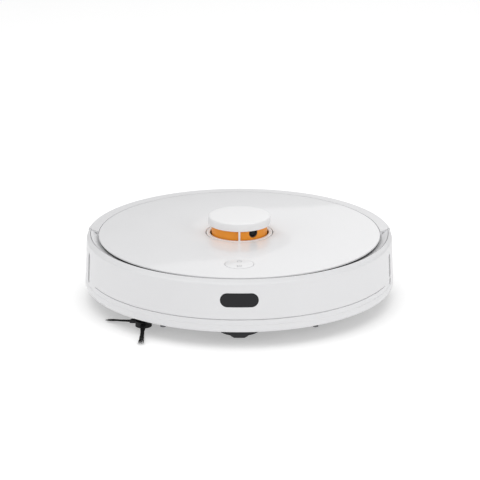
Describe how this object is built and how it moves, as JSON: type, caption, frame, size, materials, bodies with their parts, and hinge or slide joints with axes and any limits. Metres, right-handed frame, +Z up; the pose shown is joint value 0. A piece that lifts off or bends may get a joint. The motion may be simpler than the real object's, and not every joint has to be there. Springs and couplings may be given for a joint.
{
  "type": "robot vacuum",
  "caption": "Round white robot vacuum with a laser turret, sprung front bumper, driven wheels, caster, side brush, main brush and a pull-out dustbin.",
  "frame": {"origin": "on the round body's centre line at floor level, under the laser turret", "axes": "+Z up; -Y is the front, where the bumper and its window are; +X is the robot's own left; +Y is the rear with the dustbin and charging contacts"},
  "size_m": [0.35, 0.35, 0.0945],
  "materials": {
    "white_shell": "satin white moulding",
    "white_cover": "high gloss white moulding",
    "window_black": "gloss, passes infrared",
    "window_grey": "gloss smoked",
    "charcoal": "fine texture",
    "dark_grey": "fine texture",
    "orange_head": "satin orange moulding",
    "lens_black": "polished",
    "rubber_black": "matt",
    "tyre_rubber": "matt treaded",
    "bristle": "nylon bristle",
    "brush_rubber": "soft moulded blades",
    "steel": "plain",
    "screw_steel": "zinc plated",
    "contact_metal": "plated",
    "bearing_steel": "ground",
    "circuit_board": "solder mask",
    "battery_wrap": "shrink wrap",
    "filter_paper": "pleated paper",
    "smoke_clear": "dark translucent moulding",
    "white_plastic": "plain moulding"
  },
  "bodies": {
    "chassis": {"chassis_base": "charcoal", "battery_cover": "charcoal", "base_screws": "screw_steel", "cliff_sensor_windows": "window_grey", "upper_housing": "white_shell", "exhaust_grille": "white_shell", "charge_contacts": "contact_metal", "bumper_springs": "steel", "bumper_switches": "dark_grey", "top_cover": "white_cover", "button_switches": "circuit_board", "lidar_belt": "rubber_black", "lidar_base": "dark_grey", "lidar_motor": "steel", "lidar_bearing": "bearing_steel", "lidar_cover_springs": "steel", "left_suspension_spring": "steel", "right_suspension_spring": "steel", "main_brush_bearings": "dark_grey", "main_brush_guard": "dark_grey", "main_brush_gearbox": "dark_grey", "main_brush_motor": "steel", "side_brush_gearbox": "dark_grey", "battery_pack": "battery_wrap", "main_board": "circuit_board", "speaker": "dark_grey", "suction_duct": "dark_grey", "fan_housing": "white_plastic", "fan_motor": "steel"},
    "bumper": {"bumper": "white_shell", "bumper_window": "window_black", "right_wall_sensor_window": "window_grey", "left_side_windows": "window_grey"},
    "lidar_cover": {"lidar_cover": "white_cover"},
    "lidar_head": {"lidar_head": "orange_head", "lidar_lenses": "lens_black"},
    "lidar_pulley": {"lidar_pulley": "white_plastic"},
    "button": {"button_plate": "white_cover"},
    "left_arm": {"left_wheel_arm": "dark_grey", "left_wheel_motor": "steel"},
    "left_wheel": {"left_wheel_hub": "dark_grey", "left_tyre": "tyre_rubber"},
    "right_arm": {"right_wheel_arm": "dark_grey", "right_wheel_motor": "steel"},
    "right_wheel": {"right_wheel_hub": "dark_grey", "right_tyre": "tyre_rubber"},
    "caster_fork": {"caster_fork": "dark_grey", "caster_axle": "steel"},
    "caster_wheel": {"caster_wheel": "charcoal"},
    "main_brush": {"main_brush_core": "charcoal", "main_brush_bristles": "brush_rubber"},
    "side_brush": {"side_brush_hub": "charcoal", "side_brush_bristles": "bristle", "side_brush_screw": "screw_steel"},
    "fan": {"fan_impeller": "white_plastic"},
    "dustbin": {"dustbin_tub": "smoke_clear", "dustbin_lid": "smoke_clear", "filter_frame": "white_plastic", "dust_filter": "filter_paper"},
    "dustbin_latch": {"dustbin_latch": "white_shell"}
  },
  "joints": [
    {"name": "bumper_press", "type": "slide", "parent": "chassis", "child": "bumper", "axis": [0, 1, 0], "range_m": [0, 0.003], "stiffness_N_per_m": 500, "springref_m": -0.002, "deforming": ["bumper_springs"]},
    {"name": "lidar_cover_press", "type": "slide", "parent": "chassis", "child": "lidar_cover", "axis": [0, 0, -1], "range_m": [0, 0.001], "stiffness_N_per_m": 800, "springref_m": -0.001, "deforming": ["lidar_cover_springs"]},
    {"name": "lidar_spin", "type": "hinge", "parent": "chassis", "child": "lidar_head", "pos_m": [0, 0, 0.0625], "axis": [0, 0, 1], "continuous": true},
    {"name": "lidar_pulley_spin", "type": "hinge", "parent": "chassis", "child": "lidar_pulley", "pos_m": [-0.05295, 0.01823, 0.0625], "axis": [0, 0, 1], "continuous": true},
    {"name": "button_rock", "type": "hinge", "parent": "chassis", "child": "button", "pos_m": [0, -0.114, 0.0696], "axis": [1, 0, 0], "range_deg": [-1.5, 1.5], "stiffness_Nm_per_rad": 0.15},
    {"name": "left_suspension", "type": "hinge", "parent": "chassis", "child": "left_arm", "pos_m": [0.1, 0.048, 0.03], "axis": [1, 0, 0], "range_deg": [0, 20], "stiffness_Nm_per_rad": 0.35, "springref_deg": 51.57},
    {"name": "right_suspension", "type": "hinge", "parent": "chassis", "child": "right_arm", "pos_m": [-0.1, 0.048, 0.03], "axis": [1, 0, 0], "range_deg": [0, 20], "stiffness_Nm_per_rad": 0.35, "springref_deg": 51.57},
    {"name": "left_wheel_spin", "type": "hinge", "parent": "left_arm", "child": "left_wheel", "pos_m": [0.118, 0, 0.033], "axis": [1, 0, 0], "continuous": true},
    {"name": "right_wheel_spin", "type": "hinge", "parent": "right_arm", "child": "right_wheel", "pos_m": [-0.118, 0, 0.033], "axis": [1, 0, 0], "continuous": true},
    {"name": "caster_swivel", "type": "hinge", "parent": "chassis", "child": "caster_fork", "pos_m": [0, -0.145, 0.03], "axis": [0, 0, 1], "continuous": true},
    {"name": "caster_roll", "type": "hinge", "parent": "caster_fork", "child": "caster_wheel", "pos_m": [0, -0.14, 0.014], "axis": [1, 0, 0], "continuous": true},
    {"name": "main_brush_spin", "type": "hinge", "parent": "chassis", "child": "main_brush", "pos_m": [0, -0.02, 0.0175], "axis": [1, 0, 0], "continuous": true},
    {"name": "side_brush_spin", "type": "hinge", "parent": "chassis", "child": "side_brush", "pos_m": [-0.104, -0.117, 0.01], "axis": [0, 0, 1], "continuous": true},
    {"name": "fan_spin", "type": "hinge", "parent": "chassis", "child": "fan", "pos_m": [0.04, 0.034, 0.027], "axis": [0, 0, 1], "continuous": true},
    {"name": "dustbin_slide", "type": "slide", "parent": "chassis", "child": "dustbin", "axis": [0, 1, 0], "range_m": [0, 0.12]},
    {"name": "dustbin_latch_press", "type": "slide", "parent": "dustbin", "child": "dustbin_latch", "axis": [0, -1, 0], "range_m": [0, 0.002], "stiffness_N_per_m": 400, "springref_m": -0.002}
  ],
  "couplings": [
    {"joint": "lidar_pulley_spin", "follows": "lidar_spin", "ratio": 4.8}
  ]
}
